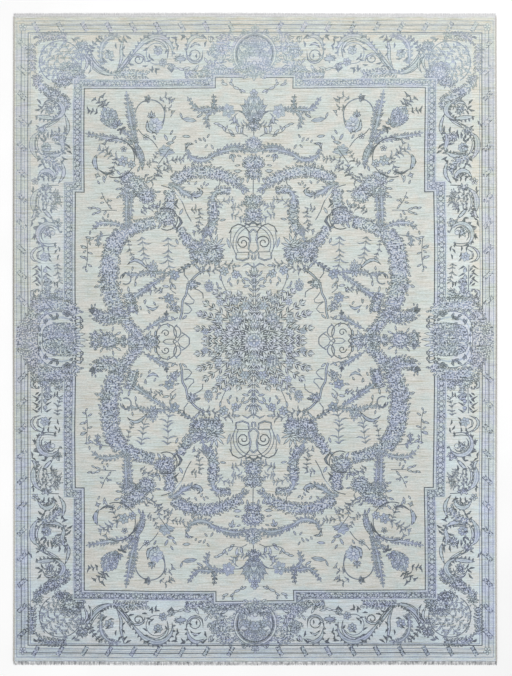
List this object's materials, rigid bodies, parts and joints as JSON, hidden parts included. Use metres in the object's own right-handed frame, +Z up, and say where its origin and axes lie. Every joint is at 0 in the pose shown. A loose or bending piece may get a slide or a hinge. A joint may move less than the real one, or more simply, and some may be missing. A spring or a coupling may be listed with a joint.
{
  "type": "hand-knotted area rug",
  "caption": "Flat hand-knotted wool rug with a floral medallion field, bordered edges, overcast side cords and a short cut fringe at both ends.",
  "frame": {"origin": "on the floor, under the middle of the rug with its fringe", "axes": "+X across the rug, +Y along it towards its far fringe, +Z up out of the pile"},
  "size_m": [2.7454, 3.7088, 0.009],
  "materials": {
    "pile": "short dense wool pile, matt, ivory ground with a light blue-grey floral pattern",
    "selvedge": "wool yarn wound closely round the side cord, matt",
    "fringe": "undyed cotton warp, flat-woven and then cut short, matt"
  },
  "bodies": {
    "root": {"rug_body": "pile", "selvedge_left": "selvedge", "selvedge_right": "selvedge", "fringe_far": "fringe", "fringe_near": "fringe"}
  },
  "joints": []
}
